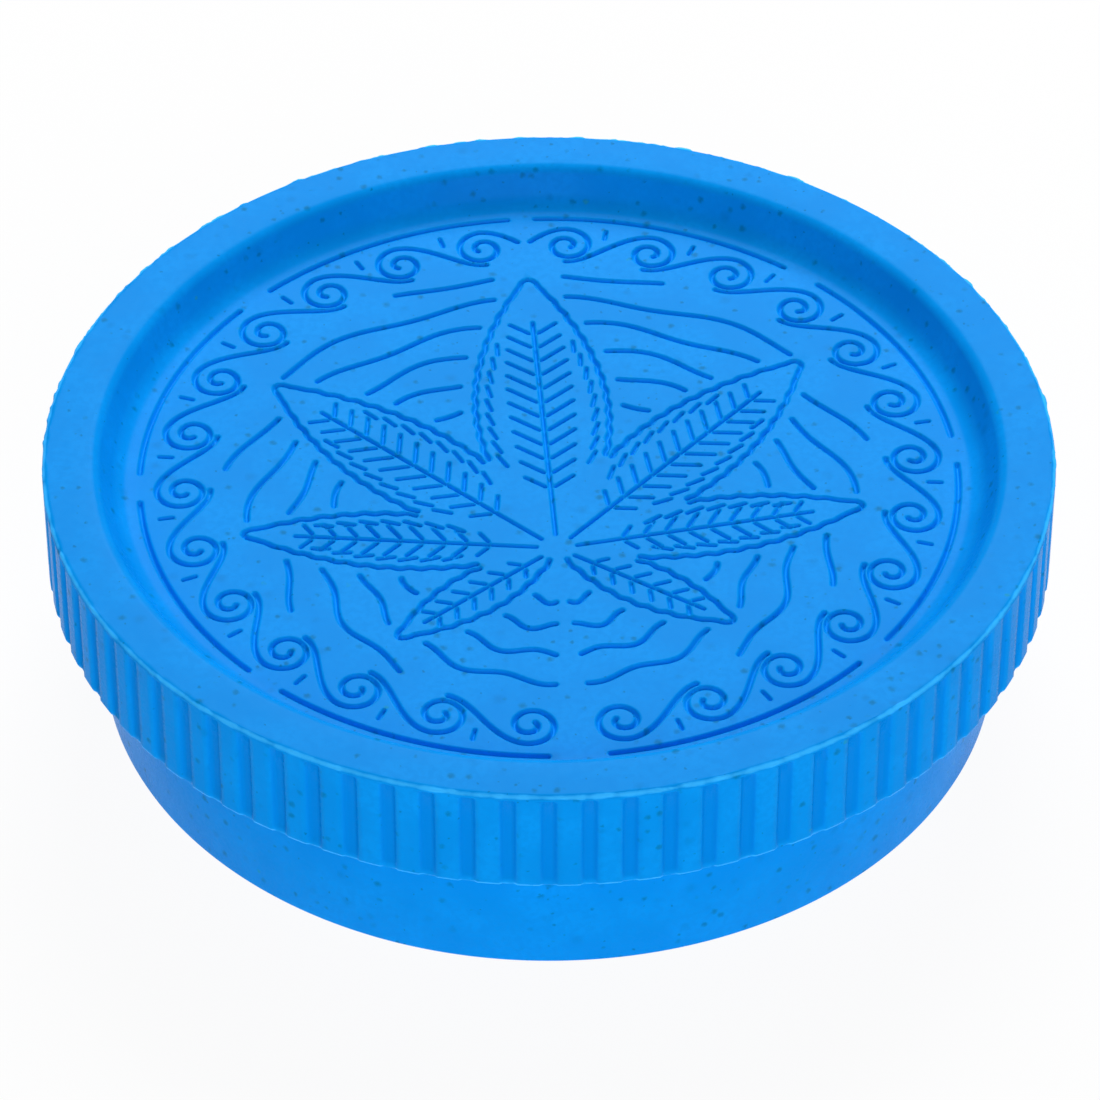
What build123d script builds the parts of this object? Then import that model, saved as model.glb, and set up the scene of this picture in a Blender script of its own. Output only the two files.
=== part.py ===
"""A two-part twist grinder, moulded in plant-fibre plastic.

A shallow round cup and a lid that caps it, both set with rings of standing teeth that pass
between each other as the lid is turned. The fluted skirt of the lid is the grip, the lid's
top is a shallow dish inside a raised rim, and a pair of disc magnets on centre posts keeps
the lid down. Origin at the middle of the foot, +Z up along the turning axis. Millimetres.
"""

import os

from build123d import *

# Lid, outside
rim_radius = 30.0  # over the lands between the grip flutes
total_height = 16.0
skirt_height = 7.0  # fluted band and rim edge together, down from the top of the rim
rim_edge_radius = 0.5
skirt_edge_chamfer = 0.2

# Grip flutes, open at the skirt's lower edge
flute_count = 82
flute_width = 1.0
flute_depth = 0.3
flute_stop = 0.6  # plain band left under the top of the rim

# Dish in the lid's top
rim_width = 3.2  # from the outside to where the dish starts to fall
dish_slope_width = 1.2
dish_depth = 2.2
dish_lip_blend = 0.9
dish_foot_blend = 1.5
panel_margin = 1.4  # from the foot of the slope in to where the rim's solid meets the panel's

# Walls
panel_thickness = 1.7
skirt_wall = 2.8  # from the lands to the bore that slides over the cup
cup_wall = 2.0
cup_rim_radius = 0.4
cup_floor = 1.7
foot_width = 2.2
foot_height = 0.5
foot_edge_radius = 0.2

# Clearances
skirt_clearance = 0.15  # lid bore over cup wall, on radius
lid_seat_gap = 0.3  # lid panel above the cup's rim
magnet_clearance = 0.05  # disc magnet in its pocket, on radius
magnet_end_gap = 0.1  # lid magnet under the end of its pocket
post_gap = 0.4  # between the two posts
ring_gap = 0.9  # between neighbouring rings of teeth, on radius
wall_tooth_gap = 0.1  # behind the teeth on the cup's wall, on radius
tooth_end_gap = 1.6  # tooth tips to the face they point at

# Magnets and the posts that hold them
magnet_radius = 3.0
magnet_thickness = 2.0
magnet_chamfer = 0.15
post_wall = 1.6
base_post_height = 4.4

# Teeth: diamonds, long round the ring, in rings that belong to base and lid in turn
tooth_length = 3.8  # round the ring, at the root
tooth_draft = 2.0  # degrees
tooth_tip_chamfer = 0.45
wall_tooth_reach = 2.3  # how far the teeth on the cup's wall stand inwards
base_inner_count = 4
lid_inner_count = 8
base_middle_count = 8
lid_outer_count = 12
base_wall_count = 16

# Worked out from the values above
bore_radius = rim_radius - skirt_wall
cup_radius = bore_radius - skirt_clearance
chamber_radius = cup_radius - cup_wall
dish_lip = rim_radius - rim_width
dish_floor = dish_lip - dish_slope_width
panel_radius = dish_floor - panel_margin
panel_top = total_height - dish_depth
panel_underside = panel_top - panel_thickness
skirt_bottom = total_height - skirt_height
cup_rim = panel_underside - lid_seat_gap
chamber_floor = foot_height + cup_floor
foot_inner_radius = cup_radius - foot_width
pocket_radius = magnet_radius + magnet_clearance
post_radius = pocket_radius + post_wall
base_post_top = chamber_floor + base_post_height
lid_post_bottom = base_post_top + post_gap
tooth_height = panel_underside - chamber_floor - tooth_end_gap
ring_room = chamber_radius - wall_tooth_reach - post_radius
tooth_depth = (ring_room - 5 * ring_gap) / 4  # four free-standing rings, five gaps
ring_step = tooth_depth + ring_gap
base_inner_ring = post_radius + ring_gap + tooth_depth / 2
lid_inner_ring = base_inner_ring + ring_step
base_middle_ring = lid_inner_ring + ring_step
lid_outer_ring = base_middle_ring + ring_step
flute_radius = (flute_width**2 / 4 + flute_depth**2) / (2 * flute_depth)
edge_tolerance = 0.01  # for picking edges by height

floor_plane = Plane.XY.offset(chamber_floor)
ceiling_plane = Plane(origin=(0, 0, panel_underside), x_dir=(1, 0, 0), z_dir=(0, 0, -1))

os.makedirs("parts", exist_ok=True)


def keep(part, label):
    """Labels a finished piece and writes its STEP file."""
    part.label = label
    export_step(part, f"parts/{label}.step")


def tooth_ring(root_plane, ring_radius, count):
    """A ring of tapered teeth standing on the plane, with a gap that faces +X."""
    with BuildPart() as ring:
        with BuildSketch(root_plane):
            with PolarLocations(ring_radius, count, start_angle=180 / count):
                Polygon(
                    (tooth_depth / 2, 0),
                    (0, tooth_length / 2),
                    (-tooth_depth / 2, 0),
                    (0, -tooth_length / 2),
                )
        extrude(amount=tooth_height, taper=tooth_draft)
        ends = ring.faces().filter_by(Axis.Z).group_by(SortBy.AREA)[0]
        chamfer(ends.edges(), length=min(tooth_tip_chamfer, tooth_depth / 6))
    return ring.part


# ---- Cup: floor, wall and foot ring ----------------------------------------------------
with BuildPart() as base_cup:
    with BuildSketch(Plane.XZ):
        with BuildLine():
            Polyline(
                (0, foot_height),
                (foot_inner_radius - foot_height, foot_height),
                (foot_inner_radius, 0),
                (cup_radius, 0),
                (cup_radius, cup_rim),
                (chamber_radius, cup_rim),
                (chamber_radius, chamber_floor),
                (0, chamber_floor),
                close=True,
            )
        make_face()
    revolve(axis=Axis.Z)
    circles = base_cup.edges().filter_by(GeomType.CIRCLE)
    fillet(circles.group_by(Axis.Z)[0].sort_by(SortBy.RADIUS)[-1], radius=foot_edge_radius)
    circles = base_cup.edges().filter_by(GeomType.CIRCLE)
    fillet(circles.group_by(Axis.Z)[-1], radius=cup_rim_radius)
keep(base_cup.part, "base_cup")

# ---- Base post and its magnet, flush with the post's top -------------------------------
with BuildPart() as base_post:
    with BuildSketch(floor_plane):
        Circle(post_radius)
    extrude(amount=base_post_height)
    with Locations((0, 0, base_post_top)):
        Hole(pocket_radius, depth=magnet_thickness)
keep(base_post.part, "base_post")

with BuildPart() as base_magnet:
    with BuildSketch(Plane.XY.offset(base_post_top)):
        Circle(magnet_radius)
    extrude(amount=-magnet_thickness)
    chamfer(base_magnet.edges().group_by(Axis.Z)[-1], length=magnet_chamfer)
keep(base_magnet.part, "base_magnet")

# ---- Teeth of the base -----------------------------------------------------------------
keep(tooth_ring(floor_plane, base_inner_ring, base_inner_count), "base_inner_teeth")
keep(tooth_ring(floor_plane, base_middle_ring, base_middle_count), "base_middle_teeth")

with BuildPart() as base_wall_teeth:
    with BuildSketch(floor_plane):
        with PolarLocations(chamber_radius, base_wall_count, start_angle=180 / base_wall_count):
            Polygon(
                (-wall_tooth_reach, 0),
                (0, -tooth_length / 2),
                (wall_tooth_reach, 0),
                (0, tooth_length / 2),
            )
        Circle(chamber_radius - wall_tooth_gap, mode=Mode.INTERSECT)
    extrude(amount=tooth_height)
keep(base_wall_teeth.part, "base_wall_teeth")

# ---- Lid: the flat panel at the bottom of the dish --------------------------------------
with BuildPart() as lid_panel:
    with BuildSketch(Plane.XY.offset(panel_underside)):
        Circle(panel_radius)
    extrude(amount=panel_thickness)
keep(lid_panel.part, "lid_panel")

# ---- Lid: dish slope, rim and fluted skirt, round the panel ------------------------------
with BuildPart() as lid_rim:
    with BuildSketch(Plane.XZ):
        with BuildLine():
            Polyline(
                (panel_radius, panel_underside),
                (bore_radius, panel_underside),
                (bore_radius, skirt_bottom),
                (rim_radius, skirt_bottom),
                (rim_radius, total_height),
                (dish_lip, total_height),
                (dish_floor, panel_top),
                (panel_radius, panel_top),
                close=True,
            )
        make_face()
    revolve(axis=Axis.Z)
    top_edges = lid_rim.edges().filter_by(GeomType.CIRCLE).group_by(Axis.Z)[-1]
    fillet(top_edges.sort_by(SortBy.RADIUS)[-1], radius=rim_edge_radius)
    top_edges = lid_rim.edges().filter_by(GeomType.CIRCLE).group_by(Axis.Z)[-1]
    fillet(top_edges.sort_by(SortBy.RADIUS)[0], radius=dish_lip_blend)
    floor_edges = lid_rim.edges().filter_by(GeomType.CIRCLE).filter_by_position(
        Axis.Z, panel_top - edge_tolerance, panel_top + edge_tolerance
    )
    fillet(floor_edges.sort_by(SortBy.RADIUS)[-1], radius=dish_foot_blend)
    low_edges = lid_rim.edges().filter_by(GeomType.CIRCLE).group_by(Axis.Z)[0]
    chamfer(low_edges, length=skirt_edge_chamfer)
    with BuildSketch(Plane.XY.offset(skirt_bottom)):
        with PolarLocations(
            rim_radius + flute_radius - flute_depth, flute_count, start_angle=180 / flute_count
        ):
            Circle(flute_radius)
    extrude(amount=skirt_height - flute_stop, mode=Mode.SUBTRACT)
keep(lid_rim.part, "lid_rim")

# ---- Lid post and its magnet, flush with the post's end --------------------------------
with BuildPart() as lid_post:
    with BuildSketch(Plane.XY.offset(lid_post_bottom)):
        Circle(post_radius)
    extrude(amount=panel_underside - lid_post_bottom)
    with BuildSketch(Plane.XY.offset(lid_post_bottom)):
        Circle(pocket_radius)
    extrude(amount=magnet_thickness + magnet_end_gap, mode=Mode.SUBTRACT)
keep(lid_post.part, "lid_post")

with BuildPart() as lid_magnet:
    with BuildSketch(Plane.XY.offset(lid_post_bottom)):
        Circle(magnet_radius)
    extrude(amount=magnet_thickness)
    chamfer(lid_magnet.edges().group_by(Axis.Z)[0], length=magnet_chamfer)
keep(lid_magnet.part, "lid_magnet")

# ---- Teeth of the lid ------------------------------------------------------------------
keep(tooth_ring(ceiling_plane, lid_inner_ring, lid_inner_count), "lid_inner_teeth")
keep(tooth_ring(ceiling_plane, lid_outer_ring, lid_outer_count), "lid_outer_teeth")
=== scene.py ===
"""Looks of a two-part twist grinder in plant-fibre plastic: the engraved and fluted lid, the
toothed cup it turns on, their posts and magnets, the camera and the studio. Metres.
"""

from math import atan2, ceil, cos, hypot, pi, radians, sin, sqrt, tan

import bmesh
import bpy
import numpy as np
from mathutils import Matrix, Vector
from mathutils.geometry import delaunay_2d_cdt


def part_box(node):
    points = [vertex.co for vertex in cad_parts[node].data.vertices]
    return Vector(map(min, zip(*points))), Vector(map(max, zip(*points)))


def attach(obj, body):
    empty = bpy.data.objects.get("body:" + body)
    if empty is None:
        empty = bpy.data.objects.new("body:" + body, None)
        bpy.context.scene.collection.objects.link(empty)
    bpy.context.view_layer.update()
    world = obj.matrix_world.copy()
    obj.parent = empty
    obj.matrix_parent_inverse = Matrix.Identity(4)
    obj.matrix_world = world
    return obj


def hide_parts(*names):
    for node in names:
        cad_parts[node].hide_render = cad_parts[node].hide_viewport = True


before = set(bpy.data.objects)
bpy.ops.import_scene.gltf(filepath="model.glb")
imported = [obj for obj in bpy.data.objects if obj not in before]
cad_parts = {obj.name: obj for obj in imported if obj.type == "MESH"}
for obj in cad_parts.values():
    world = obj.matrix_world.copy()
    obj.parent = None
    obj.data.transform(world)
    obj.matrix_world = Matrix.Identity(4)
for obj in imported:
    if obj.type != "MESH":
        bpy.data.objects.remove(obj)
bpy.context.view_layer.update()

MM = 0.001


# ---- Sizes -------------------------------------------------------------------------------
def radial_reach(node):
    """Smallest and largest distance of a node's points from the turning axis."""
    reach = [hypot(point.co.x, point.co.y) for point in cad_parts[node].data.vertices]
    return min(reach), max(reach)


def heights(node):
    """Lowest and highest point of a node."""
    low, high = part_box(node)
    return low.z, high.z


RIM_RADIUS = radial_reach("lid_rim")[1]
SKIRT_LOW, RIM_TOP = heights("lid_rim")
PANEL_UNDER, PANEL_TOP = heights("lid_panel")
CUP_RADIUS = radial_reach("base_cup")[1]
CUP_RIM = heights("base_cup")[1]
CHAMBER_FLOOR, BASE_POST_TOP = heights("base_post")
LID_POST_LOW = heights("lid_post")[0]
POST_RADIUS = radial_reach("base_post")[1]
MAGNET_RADIUS = radial_reach("base_magnet")[1]
MAGNET_THICKNESS = heights("base_magnet")[1] - heights("base_magnet")[0]

# Lid
RIM_WIDTH = 3.2 * MM
DISH_SLOPE_WIDTH = 1.2 * MM
DISH_LIP_BLEND = 0.9 * MM
DISH_FOOT_BLEND = 1.5 * MM
RIM_EDGE = 0.3 * MM
SKIRT_WALL = 2.8 * MM
SKIRT_EDGE = 0.2 * MM
FLUTES = 82
FLUTE_DEPTH = 0.3 * MM
FLUTE_FLAT = 0.28 * MM  # half the flat at the bottom of a flute
FLUTE_LIP = 0.54 * MM  # from a flute's middle to where the land is full
FLUTE_STOP = 0.32 * MM  # plain band left under the top of the rim
BURR = 0.09 * MM  # how far moulding flash stands off the rim's edge
BURR_SCALE = 26.0  # raggedness round the rim, and along its height
BURR_HEIGHT_SCALE = 300.0
FLUTE_START = 0.25 * MM  # from there down to a flute's full depth
FLUTE_FADE = 0.7 * MM  # a flute runs out over this height above the skirt's edge
COLUMNS_PER_FLUTE = 12

# Cup
CUP_WALL = 2.0 * MM
CUP_LIP = 0.4 * MM
CUP_CORNER = 0.15 * MM
FOOT_WIDTH = 2.2 * MM
FOOT_HEIGHT = 0.5 * MM
INSIDE_FILLET = 0.6 * MM
GATE_RADIUS = 1.3 * MM
GATE_DEPTH = 0.2 * MM
ROUND_COLUMNS = 288

# Teeth
TOOTH_LENGTH = 3.8 * MM
TOOTH_DRAFT = tan(radians(2))
TOOTH_ROUNDING = 0.3 * MM
TOOTH_TIP = 0.45 * MM
TOOTH_ROOT = 0.25 * MM
WALL_TOOTH_SINK = 0.4 * MM
MAGNET_CLEARANCE = 0.05 * MM

# Engraving: bold strokes, and fine ones for veins and marks
BOLD_DEPTH = 0.3 * MM
BOLD_WIDTH = 0.21 * MM  # from its middle to the untouched panel
BOLD_STEP = 0.24 * MM  # spacing of the mesh along it
BOLD_ROWS = (0.0, 0.07, 0.14, 0.2, 0.29)  # the mesh's rows beside it, in millimetres
FINE_DEPTH = 0.26 * MM
FINE_WIDTH = 0.16 * MM
FINE_STEP = 0.2 * MM
FINE_ROWS = (0.0, 0.055, 0.11, 0.16, 0.24)
ENGRAVED_RADIUS = 24.9 * MM  # the engraved sheet ends here, on the foot of the dish's slope


# ---- Node trees --------------------------------------------------------------------------
class Wire:
    """A socket that sums can be written on."""

    def __init__(self, tree, socket):
        self.tree = tree
        self.socket = socket

    def output(self, name):
        """Another output of the node that this one comes from."""
        return Wire(self.tree, self.socket.node.outputs[name])

    def math(self, operation, *others):
        values = dict(enumerate((self, *others)))
        return self.tree.add("ShaderNodeMath", {"operation": operation}, values)

    def __add__(self, other):
        return self.math("ADD", other)

    def __radd__(self, other):
        return self.math("ADD", other)

    def __sub__(self, other):
        return self.math("SUBTRACT", other)

    def __rsub__(self, other):
        return (self * -1.0).math("ADD", other)

    def __mul__(self, other):
        return self.math("MULTIPLY", other)

    def __rmul__(self, other):
        return self.math("MULTIPLY", other)

    def __truediv__(self, other):
        return self.math("DIVIDE", other)

    def smooth(self, low, high):
        """0 under low, 1 over high, and a soft step between."""
        values = {"Value": self, "From Min": low, "From Max": high}
        return self.tree.add("ShaderNodeMapRange", {"interpolation_type": "SMOOTHSTEP"}, values)


class Tree:
    """A shader or geometry tree under construction."""

    def __init__(self, tree):
        self.tree = tree

    def add(self, kind, settings=None, values=None, output=None):
        """Adds a node, sets it up, gives its sockets values or links, and returns an output."""
        node = self.tree.nodes.new(kind)
        for name, setting in (settings or {}).items():
            setattr(node, name, setting)
        for name, value in (values or {}).items():
            if isinstance(value, Wire):
                self.tree.links.new(value.socket, node.inputs[name])
            else:
                node.inputs[name].default_value = value
        if not node.outputs:
            return None
        return Wire(self, node.outputs[output or 0])

    def mix(self, factor, first, second):
        """Blends two colours."""
        values = {"Factor": factor, "A": first, "B": second}
        node = self.tree.nodes.new("ShaderNodeMix")
        node.data_type = "RGBA"
        for name, value in values.items():
            socket = [s for s in node.inputs if s.name == name and s.enabled][0]
            if isinstance(value, Wire):
                self.tree.links.new(value.socket, socket)
            else:
                socket.default_value = value
        return Wire(self, [s for s in node.outputs if s.enabled][0])


def geometry_tree(name, inputs):
    """A new geometry tree with named inputs, as the tree and a dictionary of their wires."""
    group = bpy.data.node_groups.new(name, "GeometryNodeTree")
    group.interface.new_socket("Geometry", in_out="INPUT", socket_type="NodeSocketGeometry")
    group.interface.new_socket("Geometry", in_out="OUTPUT", socket_type="NodeSocketGeometry")
    for label, kind in inputs.items():
        group.interface.new_socket(label, in_out="INPUT", socket_type="NodeSocket" + kind)
    tree = Tree(group)
    start = group.nodes.new("NodeGroupInput")
    return tree, {socket.name: Wire(tree, socket) for socket in start.outputs if socket.name}


def close_tree(tree, geometry, material):
    """Ends a geometry tree: instances made real, shaded smooth, with their material."""
    real = tree.add("GeometryNodeRealizeInstances", values={"Geometry": geometry})
    smooth = tree.add("GeometryNodeSetShadeSmooth", values={"Geometry": real})
    made = tree.add("GeometryNodeSetMaterial", values={"Geometry": smooth, "Material": material})
    tree.add("NodeGroupOutput", values={"Geometry": made})
    return tree.tree


def grow(piece, group, inputs):
    """Runs a geometry tree on an object and leaves the result as its plain mesh."""
    modifier = piece.modifiers.new(group.name, "NODES")
    modifier.node_group = group
    for item in group.interface.items_tree:
        if item.in_out == "INPUT" and item.name in inputs:
            modifier[item.identifier] = inputs[item.name]
    bpy.context.view_layer.update()
    graph = bpy.context.evaluated_depsgraph_get()
    mesh = bpy.data.meshes.new_from_object(piece.evaluated_get(graph))
    piece.modifiers.clear()
    piece.data = mesh
    return piece


def new_object(name, mesh=None):
    piece = bpy.data.objects.new(name, mesh or bpy.data.meshes.new(name))
    bpy.context.scene.collection.objects.link(piece)
    return piece


def tidy_mesh(piece, weld=1e-6):
    """Welds what meets, closes what is open at the axis and turns the faces outwards."""
    shape = bmesh.new()
    shape.from_mesh(piece.data)
    bmesh.ops.remove_doubles(shape, verts=shape.verts, dist=weld)
    bmesh.ops.dissolve_degenerate(shape, edges=shape.edges, dist=weld / 10)
    bmesh.ops.recalc_face_normals(shape, faces=shape.faces)
    for face in shape.faces:
        face.smooth = True
    shape.to_mesh(piece.data)
    shape.free()
    return piece


# ---- Turned shapes: outlines, and the tree that spins them ---------------------------------
def outline(corners):
    """Points along an outline of (radius, height, blend) corners, with an arc at each blend."""
    points = []
    for index, (radius, height, blend) in enumerate(corners):
        here = Vector((radius, height))
        if not blend or index in (0, len(corners) - 1):
            points.append(here)
            continue
        back = (Vector(corners[index - 1][:2]) - here).normalized()
        on = (Vector(corners[index + 1][:2]) - here).normalized()
        half = back.angle(on) / 2
        middle = here + (back + on).normalized() * (blend / sin(half))
        start = here + back * (blend / tan(half)) - middle
        end = here + on * (blend / tan(half)) - middle
        swing = start.angle_signed(end)
        steps = 6 if blend > 0.5 * MM else 4 if blend > 0.25 * MM else 2
        for step in range(steps + 1):
            turn = -swing * step / steps
            arm = Vector((
                start.x * cos(turn) - start.y * sin(turn),
                start.x * sin(turn) + start.y * cos(turn),
            ))
            points.append(middle + arm)
    return points


def outline_object(name, points, shares=None):
    """An object whose points carry an outline and, where given, named shares along it."""
    mesh = bpy.data.meshes.new(name)
    mesh.from_pydata([(p[0], 0, p[1]) for p in points], [], [])
    for label, rule in (shares or {}).items():
        layer = mesh.attributes.new(label, "FLOAT", "POINT")
        layer.data.foreach_set("value", [rule(p[0], p[1]) for p in points])
    return new_object(name, mesh)


def spin_tree(fluted):
    """Spins an outline object round Z; the fluted kind also cuts grip flutes and leaves flash."""
    name = "fluted_moulding" if fluted else "turned_moulding"
    tree, given = geometry_tree(name, {
        "Outline": "Object", "Rows": "Int", "Columns": "Int", "Flutes": "Int", "Radius": "Float",
        "Flute depth": "Float", "Flute flat": "Float", "Flute lip": "Float", "Flash": "Float",
        "Material": "Material",
    })
    source = tree.add("GeometryNodeObjectInfo", values={"Object": given["Outline"]},
                      output="Geometry")
    sheet = tree.add("GeometryNodeMeshGrid", values={
        "Vertices X": given["Rows"], "Vertices Y": given["Columns"],
    })
    index = tree.add("GeometryNodeInputIndex")

    def whole(operation):
        values = {0: index, 1: given["Columns"]}
        return tree.add("FunctionNodeIntegerMath", {"operation": operation}, values)

    row = whole("DIVIDE_FLOOR")
    column = whole("MODULO")

    def along(kind, field):
        settings = {"data_type": kind}
        return tree.add("GeometryNodeSampleIndex", settings, {
            "Geometry": source, "Value": field, "Index": row,
        })

    place = along("FLOAT_VECTOR", tree.add("GeometryNodeInputPosition"))
    parts = tree.add("ShaderNodeSeparateXYZ", values={0: place})
    radius = parts.output("X")
    height = parts.output("Z")
    turn = column.math("DIVIDE", given["Columns"] - 1.0)
    if fluted:
        named = {"data_type": "FLOAT"}
        cut = along("FLOAT", tree.add("GeometryNodeInputNamedAttribute", named, {"Name": "fluted"}))
        edge = along("FLOAT", tree.add("GeometryNodeInputNamedAttribute", named, {"Name": "flash"}))
        pitches = turn * given["Flutes"]
        cell = pitches.math("FLOOR")
        across = pitches - cell - 0.5
        side = across.math("ABSOLUTE")
        inside = side.math("MINIMUM", 1 / 3)
        pitch = given["Radius"] * (2.0 * pi) / given["Flutes"]
        lip = given["Flute lip"] / pitch
        drawn = inside * lip * 3.0 + (side - inside) * (0.5 - lip) * 6.0
        packed = (cut * 4.0).math("MINIMUM", 1.0)
        shift = (drawn * across.math("SIGN") - across) * packed
        turn = turn + shift / given["Flutes"]
        arc = drawn * pitch
        full = arc.smooth(given["Flute flat"], given["Flute lip"])
        radius = radius - (1.0 - full) * cut * given["Flute depth"]
        rim = tree.add("ShaderNodeCombineXYZ", values={
            0: (turn * (2.0 * pi)).math("COSINE"),
            1: (turn * (2.0 * pi)).math("SINE"),
            2: height * BURR_HEIGHT_SCALE,
        })
        ragged = tree.add("ShaderNodeTexNoise", values={"Vector": rim, "Scale": BURR_SCALE, "Detail": 3.0})
        burr = ragged.smooth(0.5, 0.75) * edge * given["Flash"]
        radius = radius + burr
        height = height + burr
    angle = turn * (2.0 * pi)
    spot = tree.add("ShaderNodeCombineXYZ", values={
        0: radius * angle.math("COSINE"), 1: radius * angle.math("SINE"), 2: height,
    })
    spun = tree.add("GeometryNodeSetPosition", values={"Geometry": sheet, "Position": spot})
    welded = tree.add("GeometryNodeMergeByDistance", values={"Geometry": spun, "Distance": 1e-6})
    return close_tree(tree, welded, given["Material"])


def turned(name, points, material, columns=ROUND_COLUMNS):
    """A closed moulding spun from an outline that starts and ends on the axis."""
    shape = outline_object(name + "_outline", points)
    piece = grow(new_object(name), TURNED, {
        "Outline": shape, "Rows": len(points), "Columns": columns + 1, "Material": material,
    })
    bpy.data.objects.remove(shape)
    return tidy_mesh(piece)


# ---- The engraving: a plain leaf, echo lines and a running scroll, by formula --------------
# Right-hand strokes in millimetres, the leaf's axis upright; the left is their mirror image.
LEAF_HEART = -6.65  # height at which the leaflets meet
LID_TURN = radians(4.1)  # the lid stands turned by this much
STROKE_SPACING = 0.15
BORDER_MIDDLE = 21.75  # radius of the running scroll's middle line
BORDER_HALF = 1.6  # half its height
BORDER_REPEATS = 13  # scrolls in half a turn
BORDER_LINE = 24.35
ECHO_PITCH = 2.3  # between the echo lines round the leaf's heart
ECHO_LIMIT = 19.3  # they stay inside this radius


class Leaflet:
    """A leaflet that leans `angle` degrees to the right; `side` is positive on its lower side."""

    def __init__(self, angle, length, widest):
        self.angle = radians(angle)
        self.length = length
        self.widest = widest

    def place(self, along, side):
        along = np.asarray(along, float)
        side = np.asarray(side, float) + 0 * along
        return np.column_stack([
            along * sin(self.angle) + side * cos(self.angle),
            along * cos(self.angle) - side * sin(self.angle) + LEAF_HEART,
        ])

    def half_width(self, along):
        """A power of a sine, with a round cap on the last 0.7 mm."""
        along = np.asarray(along, float)
        before = np.clip(along, 0, self.length - 0.7) / self.length
        cap = np.sqrt(1 - np.clip((along - self.length) / 0.7 + 1, 0, 1) ** 2)
        return self.widest * np.sin(pi * before) ** 0.8 * cap

    def covers(self, points, margin):
        """Which points lie on the leaflet or nearer to it than the margin."""
        x = points[:, 0]
        y = points[:, 1] - LEAF_HEART
        along = x * sin(self.angle) + y * cos(self.angle)
        side = np.abs(x * cos(self.angle) - y * sin(self.angle))
        return (along > 0) & (along < self.length + margin) & (side < self.half_width(along) + margin)

    def edge(self, hand):
        """Outline from the heart to the tip, with a small ripple that dies away at the tip."""
        cap = self.length - 0.7 + 0.7 * np.sin(np.linspace(0, pi / 2, 7))
        along = np.append(np.arange(1.0, self.length - 0.75, STROKE_SPACING), cap)
        ripple = 0.08 * np.sin(2 * pi * along / 1.25) * np.minimum(1, (self.length - along) / 3)
        return self.place(along, hand * (self.half_width(along) + ripple))

    def teeth(self, hand):
        """A row of dashes inside the outline that point at the tip."""
        dashes = []
        for low in np.arange(self.length * 0.3, self.length * 0.76, 1.3):
            along = low + np.linspace(0, 1.0, 7)
            share = np.linspace(0, 1, 7)
            side = self.half_width(along) - 0.95 + 0.28 * share
            dashes.append(self.place(along, hand * side))
        return dashes

    def midrib(self):
        return self.place(np.arange(1.2, self.length * 0.84, STROKE_SPACING), 0)

    def veins(self, hand):
        """Side veins from the midrib, shorter towards both ends."""
        lines = []
        for low in np.arange(self.length * 0.22, self.length * 0.8, 1.3):
            out = 0.42 * float(self.half_width(low))
            share = np.linspace(0, 1, 9)
            lines.append(self.place(low + 0.8 * out * share, hand * (0.28 + out * share)))
        return lines


LEAFLETS = (Leaflet(0, 25, 4.0), Leaflet(45, 22.5, 3.2), Leaflet(82, 18.5, 2.4), Leaflet(126, 12, 1.7))


def stretches(stroke, keep, shortest=1.2):
    """The parts of a stroke where `keep` holds, without very short ones."""
    marks = np.flatnonzero(np.diff(np.concatenate([[0], keep.astype(int), [0]])))
    parts = [stroke[low:high] for low, high in zip(marks[::2], marks[1::2])]
    return [part for part in parts if len(part) > 2
            and np.linalg.norm(np.diff(part, axis=0), axis=1).sum() > shortest]


def leaf():
    """Right half of a leaf: bold outlines, fine ribs, veins and teeth."""
    bold = []
    fine = []
    for leaflet in LEAFLETS:
        others = [other for other in LEAFLETS if other is not leaflet]
        hands = (1,) if leaflet is LEAFLETS[0] else (1, -1)
        for hand in hands:
            outline_stroke = leaflet.edge(hand)
            free = outline_stroke[:, 0] > -0.01
            for other in others:
                free &= ~other.covers(outline_stroke, 0.3)
            bold += stretches(outline_stroke, free)
            if leaflet.widest > 2:
                fine += leaflet.teeth(hand)
            fine += leaflet.veins(hand)
        fine.append(leaflet.midrib())
    return bold, fine


def echoes():
    """Wavy lines round the leaf's heart, kept clear of the leaflets and the border."""
    lines = []
    for step in range(2, 14):
        turn = np.radians(np.arange(5, 176, 0.45))
        reach = ECHO_PITCH * step + 0.3 * np.sin(turn * 14 + step * 1.9)
        line = np.column_stack([reach * np.sin(turn), reach * np.cos(turn) + LEAF_HEART])
        free = np.linalg.norm(line, axis=1) < ECHO_LIMIT
        for leaflet in LEAFLETS:
            free &= ~leaflet.covers(line, 0.85)
        lines += stretches(line, free, 1.6)
    return lines


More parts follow.
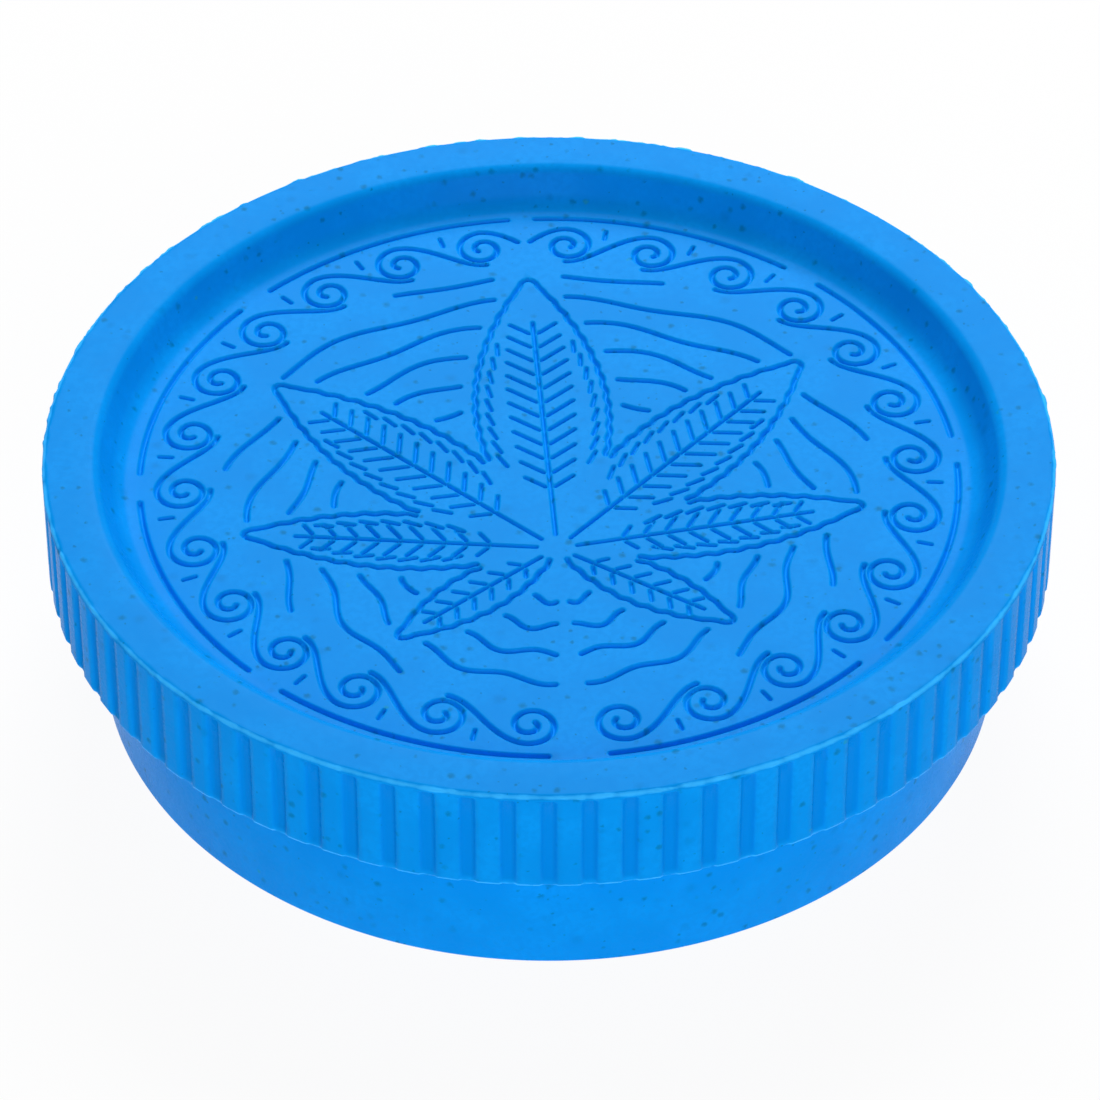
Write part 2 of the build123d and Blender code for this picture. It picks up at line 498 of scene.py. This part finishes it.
def border():
    """A running scroll, the dashes between its scrolls, and the line round it."""
    pitch = pi * BORDER_MIDDLE / BORDER_REPEATS

    def on_ring(ahead, out, middle):
        angle = middle - np.asarray(ahead) / BORDER_MIDDLE
        reach = BORDER_MIDDLE + np.asarray(out)
        return np.column_stack([reach * np.cos(angle), reach * np.sin(angle)])

    bold = []
    fine = []
    for repeat in range(BORDER_REPEATS):
        middle = pi / 2 - (repeat + 0.5) * pi / BORDER_REPEATS
        rise = np.linspace(0 if repeat else 0.57, 1, 24)
        wind = np.linspace(0, 1, 40)[1:]
        reach = BORDER_HALF * (1 - 0.78 * wind)
        angle = pi / 2 - 2 * pi * 1.35 * wind
        ahead = np.concatenate([-pitch * (1 - rise), reach * np.cos(angle)])
        out = np.concatenate([-BORDER_HALF * np.cos(pi * rise), reach * np.sin(angle)])
        bold.append(on_ring(ahead, out, middle))
        if repeat:
            dash = np.linspace(0.5, 1.0, 5)
            fine.append(on_ring(-pitch * 0.57 + 0 * dash, BORDER_HALF * dash, middle))
    for part in range(4):
        angle = np.radians(np.arange(88 - 45 * part, 49 - 45 * part, -0.35))
        bold.append(BORDER_LINE * np.column_stack([np.cos(angle), np.sin(angle)]))
    return bold, fine


def artwork():
    """Bold and fine strokes of the whole engraving, in metres, in the lid's plane."""
    bold, fine = leaf()
    border_bold, border_fine = border()
    bold = bold + echoes() + border_bold
    fine = fine + border_fine
    turn = np.array([[cos(LID_TURN), sin(LID_TURN)], [-sin(LID_TURN), cos(LID_TURN)]])

    def placed(strokes):
        return [(stroke * (hand, 1)) @ turn * MM for stroke in strokes for hand in (1, -1)]

    return placed(bold), placed(fine)


def even(stroke, step):
    """The same stroke with points an even step apart."""
    lengths = np.linalg.norm(np.diff(stroke, axis=0), axis=1)
    along = np.concatenate([[0], np.cumsum(lengths)])
    count = max(2, int(round(along[-1] / step)) + 1)
    marks = np.linspace(0, along[-1], count)
    return np.column_stack([np.interp(marks, along, stroke[:, axis]) for axis in (0, 1)])


def dish_height(radius):
    """Height of the dish's floor, which starts to rise at the foot of the slope."""
    flat = RIM_RADIUS - RIM_WIDTH - DISH_SLOPE_WIDTH - foot_tangent()
    rise = max(0.0, radius - flat)
    return PANEL_TOP + DISH_FOOT_BLEND - sqrt(DISH_FOOT_BLEND**2 - rise**2)


def slope_angle():
    return atan2(RIM_TOP - PANEL_TOP, DISH_SLOPE_WIDTH)


def foot_tangent():
    return DISH_FOOT_BLEND * tan(slope_angle() / 2)


def sheet_points(bold, fine, columns):
    """Points for the engraved sheet: rows beside every stroke, a coarse fill, an even edge."""
    rim = [(ENGRAVED_RADIUS * cos(2 * pi * k / columns), ENGRAVED_RADIUS * sin(2 * pi * k / columns))
           for k in range(columns)]
    kept = []
    cells = {}

    def offer(points, gap):
        size = 0.12 * MM
        reach = ceil(gap / size)
        for x, y in points:
            if hypot(x, y) > ENGRAVED_RADIUS - 0.12 * MM:
                continue
            i, j = int(x // size), int(y // size)
            near = (
                other
                for di in range(-reach, reach + 1)
                for dj in range(-reach, reach + 1)
                for other in cells.get((i + di, j + dj), ())
            )
            if all(hypot(x - ox, y - oy) >= gap for ox, oy in near):
                cells.setdefault((i, j), []).append((x, y))
                kept.append((x, y))

    for strokes, step, rows in ((bold, BOLD_STEP, BOLD_ROWS), (fine, FINE_STEP, FINE_ROWS)):
        lines = [even(stroke, step) for stroke in strokes]
        for row in rows:
            for line in lines:
                along = np.gradient(line, axis=0)
                along /= np.maximum(np.linalg.norm(along, axis=1, keepdims=True), 1e-12)
                across = np.column_stack([-along[:, 1], along[:, 0]]) * row * MM
                gap = 0.5 * step if row == 0 else 0.045 * MM
                offer(line + across, gap)
                if row:
                    offer(line - across, gap)
                    for tip, way in ((line[0], -along[0]), (line[-1], along[-1])):
                        side = np.array([-way[1], way[0]])
                        fan = [tip + row * MM * (way * cos(a) + side * sin(a)) for a in (-0.9, 0, 0.9)]
                        offer(fan, gap)
    pitch = 0.9 * MM
    steps = range(-28, 29)
    fill = [((i + (j % 2) / 2) * pitch, j * pitch * 0.866) for j in range(-34, 35) for i in steps]
    offer(fill, 0.5 * MM)
    return rim + kept


def engrave_tree():
    """Presses bold and fine strokes into a sheet, as grooves with round bottoms."""
    tree, given = geometry_tree("engraving", {
        "Bold strokes": "Object", "Bold width": "Float", "Bold depth": "Float",
        "Fine strokes": "Object", "Fine width": "Float", "Fine depth": "Float", "Material": "Material",
    })
    here = tree.add("GeometryNodeInputPosition")
    parts = tree.add("ShaderNodeSeparateXYZ", values={0: here})
    level = tree.add("ShaderNodeCombineXYZ", values={0: parts.output("X"), 1: parts.output("Y")})

    def pressed(weight):
        lines = tree.add("GeometryNodeObjectInfo", values={"Object": given[weight + " strokes"]},
                         output="Geometry")
        distance = tree.add("GeometryNodeProximity", {"target_element": "EDGES"}, {
            "Geometry": lines, "Sample Position": level,
        }, "Distance")
        near = 1.0 - distance.smooth(0.0, given[weight + " width"])
        return near * given[weight + " depth"]

    wander = tree.add("ShaderNodeTexNoise", values={"Vector": here, "Scale": 300.0, "Detail": 1.0})
    depth = pressed("Bold").math("MAXIMUM", pressed("Fine")) * (wander * 0.6 + 0.7)
    offset = tree.add("ShaderNodeCombineXYZ", values={2: depth * -1.0})
    moved = tree.add("GeometryNodeSetPosition", values={"Geometry": given["Geometry"], "Offset": offset})
    return close_tree(tree, moved, given["Material"])


def drawing(name, strokes):
    """An object whose edges run along the strokes."""
    points = []
    edges = []
    for stroke in strokes:
        fine = even(stroke, STROKE_SPACING * MM)
        edges += [(len(points) + k, len(points) + k + 1) for k in range(len(fine) - 1)]
        points += [(x, y, 0) for x, y in fine]
    mesh = bpy.data.meshes.new(name)
    mesh.from_pydata(points, edges, [])
    return new_object(name, mesh)


def engraved_sheet(columns, material):
    """The dish's floor as a fine sheet that follows the strokes pressed into it."""
    bold, fine = artwork()
    spots = sheet_points(bold, fine, columns)
    made = delaunay_2d_cdt([Vector(spot) for spot in spots], [], [], 0, 1e-9)
    mesh = bpy.data.meshes.new("engraved_sheet")
    mesh.from_pydata([(v.x, v.y, dish_height(v.length)) for v in made[0]], [], made[2])
    bold_lines = drawing("bold_strokes", bold)
    fine_lines = drawing("fine_strokes", fine)
    sheet = grow(new_object("engraved_sheet", mesh), engrave_tree(), {
        "Bold strokes": bold_lines, "Bold width": BOLD_WIDTH, "Bold depth": BOLD_DEPTH,
        "Fine strokes": fine_lines, "Fine width": FINE_WIDTH, "Fine depth": FINE_DEPTH,
        "Material": material,
    })
    bpy.data.objects.remove(bold_lines)
    bpy.data.objects.remove(fine_lines)
    return sheet


# ---- The lid -------------------------------------------------------------------------------
def lid_outline():
    """From the engraved sheet's edge up the dish, over the rim, down the skirt and underneath."""
    foot_end = RIM_RADIUS - RIM_WIDTH - DISH_SLOPE_WIDTH + foot_tangent() * cos(slope_angle())
    rising = np.linspace(ENGRAVED_RADIUS, foot_end, 5)
    points = [Vector((radius, dish_height(radius))) for radius in rising]
    corners = [
        (points[-1].x, points[-1].y, 0),
        (RIM_RADIUS - RIM_WIDTH, RIM_TOP, DISH_LIP_BLEND),
        (RIM_RADIUS - RIM_WIDTH / 2, RIM_TOP, 0),
        (RIM_RADIUS - RIM_EDGE * 1.4, RIM_TOP, 0),
        (RIM_RADIUS, RIM_TOP, RIM_EDGE),
        (RIM_RADIUS, SKIRT_LOW, SKIRT_EDGE),
        (RIM_RADIUS - SKIRT_WALL, SKIRT_LOW, SKIRT_EDGE),
        (RIM_RADIUS - SKIRT_WALL, PANEL_UNDER, SKIRT_EDGE),
        (0, PANEL_UNDER, 0),
    ]
    rest = outline(corners)[1:]
    skirt_rows = [Vector((RIM_RADIUS, height)) for height in (
        RIM_TOP - FLUTE_STOP,
        RIM_TOP - FLUTE_STOP - 0.12 * MM,
        RIM_TOP - FLUTE_STOP - FLUTE_START,
        (RIM_TOP + SKIRT_LOW) / 2 + 1.2 * MM,
        (RIM_TOP + SKIRT_LOW) / 2,
        (RIM_TOP + SKIRT_LOW) / 2 - 1.5 * MM,
        SKIRT_LOW + FLUTE_FADE,
        SKIRT_LOW + FLUTE_FADE / 2,
    )]
    split = max(k for k, point in enumerate(rest) if point.y > RIM_TOP - 2 * RIM_EDGE) + 1
    return points + rest[:split] + skirt_rows + rest[split:]


def lid_piece(material):
    """The lid as one moulding: the engraved sheet welded into the spun rim and skirt."""
    points = lid_outline()
    on_skirt = RIM_RADIUS - SKIRT_EDGE * 0.6

    def fluted(radius, height):
        if radius < on_skirt:
            return 0.0
        starting = (RIM_TOP - FLUTE_STOP - height) / FLUTE_START
        fading = 0.35 + 0.65 * (height - SKIRT_LOW) / FLUTE_FADE
        return max(0.0, min(1.0, starting, fading))

    def flash(radius, height):
        near_top = hypot(radius - RIM_RADIUS, height - RIM_TOP) < RIM_EDGE * 0.75
        near_low = hypot(radius - RIM_RADIUS, height - SKIRT_LOW) < SKIRT_EDGE * 0.75
        return float(near_top) - 0.6 * near_low

    shape = outline_object("lid_outline", points, {"fluted": fluted, "flash": flash})
    columns = FLUTES * COLUMNS_PER_FLUTE
    rim = grow(new_object("rim"), FLUTED, {
        "Outline": shape, "Rows": len(points), "Columns": columns + 1, "Flutes": FLUTES,
        "Radius": RIM_RADIUS, "Flute depth": FLUTE_DEPTH, "Flute flat": FLUTE_FLAT,
        "Flute lip": FLUTE_LIP, "Flash": BURR, "Material": material,
    })
    sheet = engraved_sheet(columns, material)
    whole = bmesh.new()
    whole.from_mesh(rim.data)
    whole.from_mesh(sheet.data)
    for part in (shape, rim, sheet):
        bpy.data.objects.remove(part)
    lid = new_object("lid_moulding")
    whole.to_mesh(lid.data)
    whole.free()
    lid.data.materials.append(material)
    return tidy_mesh(lid, 3e-6)


# ---- Posts, cup and teeth --------------------------------------------------------------------
def cup_piece(material):
    """Cup with a foot ring, a gate mark under the floor and a rounded rim."""
    inside = CUP_RADIUS - CUP_WALL
    foot = CUP_RADIUS - FOOT_WIDTH
    gate = FOOT_HEIGHT + GATE_DEPTH
    return turned("cup_moulding", outline([
        (0, gate, 0),
        (GATE_RADIUS, gate, 0.1 * MM),
        (GATE_RADIUS + 0.15 * MM, FOOT_HEIGHT, 0.1 * MM),
        (foot - FOOT_HEIGHT, FOOT_HEIGHT, 0.3 * MM),
        (foot, 0, 0.2 * MM),
        (CUP_RADIUS, 0, CUP_CORNER),
        (CUP_RADIUS, SKIRT_LOW - 1 * MM, 0),
        (CUP_RADIUS, CUP_RIM, CUP_LIP),
        (inside, CUP_RIM, CUP_LIP),
        (inside, CHAMBER_FLOOR, INSIDE_FILLET),
        (0, CHAMBER_FLOOR, 0),
    ]), material)


def post_piece(name, root, end, material):
    """A post with a flared root and a pocket that its magnet sits in."""
    way = 1 if end > root else -1
    pocket = MAGNET_RADIUS + MAGNET_CLEARANCE
    bottom = end - way * (MAGNET_THICKNESS + MAGNET_CLEARANCE)
    return turned(name, outline([
        (0, root - way * 0.05 * MM, 0),
        (POST_RADIUS + 0.45 * MM, root - way * 0.05 * MM, 0),
        (POST_RADIUS + 0.4 * MM, root, 0),
        (POST_RADIUS, root + way * 0.4 * MM, 0.4 * MM),
        (POST_RADIUS, end, 0.35 * MM),
        (pocket, end, 0.12 * MM),
        (pocket, bottom, 0),
        (0, bottom, 0),
    ]), material, 96)


def kite(inner, outer, half_length, rounding):
    """A kite with rounded corners, long along Y, its centre at the origin."""
    tips = ((outer, 0), (0, half_length), (-inner, 0), (0, -half_length))
    corners = [Vector(tip) for tip in tips]
    points = []
    for index, here in enumerate(corners):
        back = (corners[index - 1] - here).normalized()
        on = (corners[(index + 1) % 4] - here).normalized()
        half = back.angle(on) / 2
        cut = min(rounding / tan(half), 0.45 * min(inner, outer))
        start = here + back * cut
        end = here + on * cut
        for step in range(6):
            share = step / 5
            bend = here * 2 * share * (1 - share)
            points.append(start * (1 - share) ** 2 + bend + end * share**2)
    return points


def tooth_mesh(name, inner, outer, root, end, sunk):
    """One tooth: flared root, drafted sides and a soft tip; a sunk one has no draft in the wall."""
    way = 1 if end > root else -1
    tall = abs(end - root)
    levels = (
        (-0.05 * MM, TOOTH_ROOT), (0, TOOTH_ROOT), (0.1 * MM, TOOTH_ROOT * 0.4), (0.3 * MM, 0),
        (tall - TOOTH_TIP, -TOOTH_DRAFT * (tall - TOOTH_TIP)),
        (tall - TOOTH_TIP * 0.45, -TOOTH_DRAFT * tall - TOOTH_TIP * 0.22),
        (tall - TOOTH_TIP * 0.12, -TOOTH_DRAFT * tall - TOOTH_TIP * 0.55),
        (tall, -TOOTH_DRAFT * tall - TOOTH_TIP * 0.95),
    )
    points = []
    for height, grow_by in levels:
        outside = outer if sunk else outer + grow_by
        ring = kite(inner + grow_by, outside, TOOTH_LENGTH / 2 + grow_by, TOOTH_ROUNDING)
        points += [(p.x, p.y, root + way * height) for p in ring]
    around = len(points) // len(levels)
    faces = [tuple(range(around)), tuple(range(len(points) - around, len(points)))]
    for level in range(len(levels) - 1):
        for k in range(around):
            low = level * around
            after = (k + 1) % around
            faces.append((low + k, low + after, low + around + after, low + around + k))
    mesh = bpy.data.meshes.new(name)
    mesh.from_pydata(points, [], faces)
    return mesh


def ring_tree():
    """Stands copies of one tooth in a ring, with a gap that faces +X."""
    tree, given = geometry_tree("tooth_ring", {
        "Tooth": "Object", "Count": "Int", "Radius": "Float", "Material": "Material",
    })
    tooth = tree.add("GeometryNodeObjectInfo", values={"Object": given["Tooth"]}, output="Geometry")
    index = tree.add("GeometryNodeInputIndex")
    angle = (index + 0.5) * (2.0 * pi) / given["Count"]
    spot = tree.add("ShaderNodeCombineXYZ", values={
        0: angle.math("COSINE") * given["Radius"], 1: angle.math("SINE") * given["Radius"],
    })
    points = tree.add("GeometryNodePoints", values={"Count": given["Count"], "Position": spot})
    spin = tree.add("ShaderNodeCombineXYZ", values={2: angle})
    turn = tree.add("FunctionNodeEulerToRotation", values={0: spin})
    ring = tree.add("GeometryNodeInstanceOnPoints", values={
        "Points": points, "Instance": tooth, "Rotation": turn,
    })
    return close_tree(tree, ring, given["Material"])


def tooth_ring(node, count, root, end, material, outer_sink=None):
    """A ring of teeth in the place of a node's ring."""
    near, far = radial_reach(node)
    if outer_sink is None:
        radius = (near + far) / 2
        inner = outer = (far - near) / 2
    else:
        radius = far
        inner = far - near
        outer = outer_sink
    sunk = outer_sink is not None
    shape = new_object(node + "_tooth", tooth_mesh(node + "_tooth", inner, outer, root, end, sunk))
    ring = grow(new_object(node + "_ring"), RING, {
        "Tooth": shape, "Count": count, "Radius": radius, "Material": material,
    })
    bpy.data.objects.remove(shape)
    return tidy_mesh(ring)


# ---- Materials -----------------------------------------------------------------------------
def new_material(name):
    material = bpy.data.materials.new(name)
    material.use_nodes = True
    material.node_tree.nodes.clear()
    return material, Tree(material.node_tree)


def around_axis(tree, place):
    """Distance from the turning axis, and height."""
    parts = tree.add("ShaderNodeSeparateXYZ", values={0: place})
    across = parts.output("X")
    beyond = parts.output("Y")
    return (across * across + beyond * beyond).math("SQRT"), parts.output("Z")


def speckle(tree, where, cell, share, small, large, softness):
    """Mask of irregular specks: one in each cell at most, in a share of the cells."""
    spots = tree.add("ShaderNodeTexVoronoi", values={
        "Vector": where, "Scale": 1 / cell, "Randomness": 1.0,
    }, output="Distance")
    dice = tree.add("ShaderNodeSeparateColor", values={0: spots.output("Color")})
    chosen = 1.0 - dice.math("GREATER_THAN", share)
    size = dice.output("Green") * ((large - small) / cell) + small / cell
    edge = spots / size
    return chosen * (1.0 - edge.smooth(1.0 - softness, 1.0))


def fibre_plastic(name, paint_rim_shade_and_light):
    """Blue moulded plastic filled with plant fibre: specks, faint clouding, satin skin; on the lid also
    painted shade in the flute bottoms and a painted highlight on the rim's edges.
    """
    material, tree = new_material(name)
    place = tree.add("ShaderNodeTexCoord", output="Object")
    cloud = tree.add("ShaderNodeTexNoise", values={"Vector": place, "Scale": 240.0, "Detail": 4.0})
    grain = tree.add("ShaderNodeTexNoise", values={"Vector": place, "Scale": 2600.0, "Detail": 3.0})
    warp = tree.add("ShaderNodeTexNoise", values={
        "Vector": place, "Scale": 4200.0, "Detail": 2.0,
    }, output="Color")
    bent = tree.add("ShaderNodeVectorMath", {"operation": "MULTIPLY_ADD"}, {
        0: warp, 1: (0.00025, 0.00025, 0.00025), 2: place,
    })
    blue = tree.mix(cloud.smooth(0.35, 0.65), (0.001, 0.292, 0.865, 1), (0.002, 0.325, 0.935, 1))
    blue = tree.mix(grain.smooth(0.35, 0.65) * 0.6, blue, (0.001, 0.285, 0.860, 1))
    haze = speckle(tree, bent, 1.5 * MM, 0.5, 0.25 * MM, 0.6 * MM, 1.0)
    blue = tree.mix(haze * 0.28, blue, (0.0, 0.17, 0.50, 1))
    fleck = speckle(tree, bent, 1.0 * MM, 0.68, 0.12 * MM, 0.36 * MM, 0.9)
    blue = tree.mix(fleck * 0.62, blue, (0.0, 0.150, 0.310, 1))
    dot = speckle(tree, bent, 0.55 * MM, 0.22, 0.06 * MM, 0.13 * MM, 0.8)
    blue = tree.mix(dot * 0.6, blue, (0.0, 0.130, 0.300, 1))
    husk = speckle(tree, bent, 2.4 * MM, 0.22, 0.12 * MM, 0.3 * MM, 0.8)
    blue = tree.mix(husk * 0.5, blue, (0.02, 0.34, 0.38, 1))
    if paint_rim_shade_and_light:
        # painted shade: the flute bottoms get a darker blue that stands in for the shade inside the flutes
        blue = tree.mix(flute_shade_mask(tree, place), blue, (0.0, 0.262, 0.800, 1))
        # moulding flash and painted highlight: the rim's outer edge and the skirt's lower edge are
        # lightened
        flash = flash_and_highlight_mask(tree, place)
        blue = tree.mix(flash, blue, (0.03, 0.47, 1.0, 1))
        # painted highlight: the same edges glow by emission, a glint that no lamp gives them
        painted_glint = tree.mix(flash, (0, 0, 0, 1), (0.012, 0.09, 0.25, 1))
    rough = grain * 0.14 + cloud * 0.1 + 0.16
    skin = tree.add("ShaderNodeTexNoise", values={"Vector": place, "Scale": 1500.0, "Detail": 3.0})
    relief = skin * 0.65 + grain * 0.35
    bump = tree.add("ShaderNodeBump", values={"Height": relief, "Strength": 0.4, "Distance": 0.012 * MM})
    surface = {
        "Base Color": blue, "Roughness": rough, "Normal": bump,
        "Specular IOR Level": 0.012, "IOR": 1.45,
    }
    if paint_rim_shade_and_light:
        # painted highlight: emission along the lid's edges
        surface.update({"Emission Color": painted_glint, "Emission Strength": 1.0})
    shader = tree.add("ShaderNodeBsdfPrincipled", values=surface)
    tree.add("ShaderNodeOutputMaterial", values={"Surface": shader})
    return material


def flute_shade_mask(tree, place):
    """The bottoms of the grip flutes, given a darker blue as painted shade for the shade that falls in
    them.
    """
    radius, height = around_axis(tree, place)
    depth = RIM_RADIUS - radius
    sunk = depth.smooth(0.04 * MM, 0.24 * MM) * (1.0 - depth.smooth(0.34 * MM, 0.4 * MM))
    inside = height.smooth(SKIRT_LOW + 0.2 * MM, SKIRT_LOW + 0.5 * MM)
    return sunk * inside * (1.0 - height.smooth(RIM_TOP - 0.5 * MM, RIM_TOP - 0.4 * MM))


def flash_and_highlight_mask(tree, place):
    """Lightening of the rim's outer edge and the skirt's lower edge, partly moulding flash and partly
    painted highlight where the edges catch the light.
    """
    radius, height = around_axis(tree, place)
    ragged = tree.add("ShaderNodeTexNoise", values={"Vector": place, "Scale": 900.0, "Detail": 3.0})
    width = ragged * 0.00034 + 0.00007

    def band(edge_height):
        out = (RIM_RADIUS - radius).math("ABSOLUTE")
        up = (height - edge_height).math("ABSOLUTE")
        near = (out * out + up * up).math("SQRT")
        return 1.0 - (near / width).smooth(0.4, 1.0)

    return band(RIM_TOP).math("MAXIMUM", band(SKIRT_LOW) * 0.8)


def nickel(name):
    """Nickel plating: faint turning marks, small scuffs."""
    material, tree = new_material(name)
    place = tree.add("ShaderNodeTexCoord", output="Object")
    radius, _ = around_axis(tree, place)
    rings = tree.add("ShaderNodeTexNoise", {"noise_dimensions": "1D"}, {
        "W": radius * 9000.0, "Scale": 1.0, "Detail": 2.0,
    })
    scuff = tree.add("ShaderNodeTexNoise", values={"Vector": place, "Scale": 1400.0, "Detail": 5.0})
    worn = scuff.smooth(0.55, 0.7)
    tone = tree.mix(worn, (0.64, 0.62, 0.58, 1), (0.5, 0.49, 0.47, 1))
    bump = tree.add("ShaderNodeBump", values={
        "Height": rings * 0.6 + scuff * 0.4, "Strength": 0.3, "Distance": 0.004 * MM,
    })
    shader = tree.add("ShaderNodeBsdfPrincipled", values={
        "Base Color": tone, "Metallic": 1.0, "Roughness": rings * 0.12 + worn * 0.18 + 0.16, "Normal": bump,
    })
    tree.add("ShaderNodeOutputMaterial", values={"Surface": shader})
    return material


# ---- Studio --------------------------------------------------------------------------------
VIEW_ANGLE = radians(41.66)
VIEW_DISTANCE = RIM_RADIUS / 0.08437
VIEW_DROP = -0.01737  # the camera's axis passes under the rim's middle, in view distances
SENSOR = 36.0  # millimetres
FOCAL = SENSOR * 60 / 11
SKY_LIGHT = 0.12
TABLE_GLOW = 1.45
TABLE_SHARE = 0.5


def camera():
    """Looks along +Y and down, from where the object fills the square frame."""
    data = bpy.data.cameras.new("camera")
    data.sensor_width = SENSOR
    data.lens = FOCAL
    data.clip_start = 0.01
    data.clip_end = 20
    view = bpy.data.objects.new("camera", data)
    bpy.context.scene.collection.objects.link(view)
    ahead = Vector((0, cos(VIEW_ANGLE), -sin(VIEW_ANGLE)))
    up = Vector((0, sin(VIEW_ANGLE), cos(VIEW_ANGLE)))
    view.location = Vector((0.00006, 0, RIM_TOP)) + VIEW_DISTANCE * (VIEW_DROP * up - ahead)
    view.rotation_euler = (pi / 2 - VIEW_ANGLE, 0, 0)
    bpy.context.scene.camera = view


def lamp(name, place, size, power):
    """A square soft lamp that faces the object."""
    data = bpy.data.lights.new(name, "AREA")
    data.size = size
    data.energy = power
    light = bpy.data.objects.new(name, data)
    bpy.context.scene.collection.objects.link(light)
    light.location = place
    light.rotation_euler = (Vector((0, 0, 0.01)) - Vector(place)).to_track_quat("-Z", "Y").to_euler()


def seen_directly(tree):
    """1 for rays from the camera, reflections and clear materials; 0 for light that is lighting."""
    rays = tree.add("ShaderNodeLightPath", output="Is Camera Ray")
    mirrored = rays.math("MAXIMUM", rays.output("Is Glossy Ray"))
    return mirrored.math("MAXIMUM", rays.output("Is Transmission Ray"))


def floor():
    """A white floor, lit from within like a light table, that keeps a soft shadow."""
    material, tree = new_material("studio_floor")
    seen = seen_directly(tree)
    matt = tree.add("ShaderNodeBsdfDiffuse", values={"Color": (0.9, 0.9, 0.9, 1)})
    glow = tree.add("ShaderNodeEmission", values={
        "Color": (1, 1, 1, 1), "Strength": seen * (1.0 - TABLE_GLOW) + TABLE_GLOW,
    })
    share = seen * (0.94 - TABLE_SHARE) + TABLE_SHARE
    shown = tree.add("ShaderNodeMixShader", values={0: share, 1: matt, 2: glow})
    tree.add("ShaderNodeOutputMaterial", values={"Surface": shown})
    mesh = bpy.data.meshes.new("floor")
    reach = 3.0
    under = -0.02 * MM  # just clear of the foot
    corners = [(x * reach, y * reach, under) for x, y in ((-1, -1), (1, -1), (1, 1), (-1, 1))]
    mesh.from_pydata(corners, [], [(0, 1, 2, 3)])
    mesh.materials.append(material)
    new_object("floor", mesh)


def surroundings():
    """White where the camera and reflections look past the floor, and a soft plain sky."""
    world = bpy.data.worlds.new("studio")
    bpy.context.scene.world = world
    world.use_nodes = True
    world.node_tree.nodes.clear()
    tree = Tree(world.node_tree)
    seen = seen_directly(tree)
    sky = tree.add("ShaderNodeBackground", values={
        "Color": (1, 1, 1, 1), "Strength": seen * (1.0 - SKY_LIGHT) + SKY_LIGHT,
    })
    tree.add("ShaderNodeOutputWorld", values={"Surface": sky})


def studio():
    bpy.context.scene.view_settings.view_transform = "Standard"
    camera()
    floor()
    surroundings()
    lamp("key", (0.04, 0.425, 0.4), 0.3, 3.5)
    lamp("fill", (0.107, -0.608, 0.34), 0.4, 2.2)


# ---- Assembly ------------------------------------------------------------------------------
TURNED = spin_tree(False)
FLUTED = spin_tree(True)
RING = ring_tree()

studio()
lid_plastic = fibre_plastic("lid_plastic", True)
cup_plastic = fibre_plastic("cup_plastic", False)
plating = nickel("magnet_plating")

PLACES = (
    (lid_piece(lid_plastic), "lid", ("lid_panel", "lid_rim")),
    (post_piece("lid_magnet_post", PANEL_UNDER, LID_POST_LOW, lid_plastic), "lid", ("lid_post",)),
    (tooth_ring("lid_inner_teeth", 8, PANEL_UNDER, heights("lid_inner_teeth")[0], lid_plastic),
     "lid", ("lid_inner_teeth",)),
    (tooth_ring("lid_outer_teeth", 12, PANEL_UNDER, heights("lid_outer_teeth")[0], lid_plastic),
     "lid", ("lid_outer_teeth",)),
    (cup_piece(cup_plastic), "base", ("base_cup",)),
    (post_piece("base_magnet_post", CHAMBER_FLOOR, BASE_POST_TOP, cup_plastic), "base", ("base_post",)),
    (tooth_ring("base_inner_teeth", 4, CHAMBER_FLOOR, heights("base_inner_teeth")[1], cup_plastic),
     "base", ("base_inner_teeth",)),
    (tooth_ring("base_middle_teeth", 8, CHAMBER_FLOOR, heights("base_middle_teeth")[1], cup_plastic),
     "base", ("base_middle_teeth",)),
    (tooth_ring("base_wall_teeth", 16, CHAMBER_FLOOR, heights("base_wall_teeth")[1], cup_plastic,
                WALL_TOOTH_SINK),
     "base", ("base_wall_teeth",)),
)
for piece, body, nodes in PLACES:
    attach(piece, body)
    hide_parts(*nodes)
for node in ("base_magnet", "lid_magnet"):
    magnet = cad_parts[node]
    magnet.data.materials.clear()
    magnet.data.materials.append(plating)
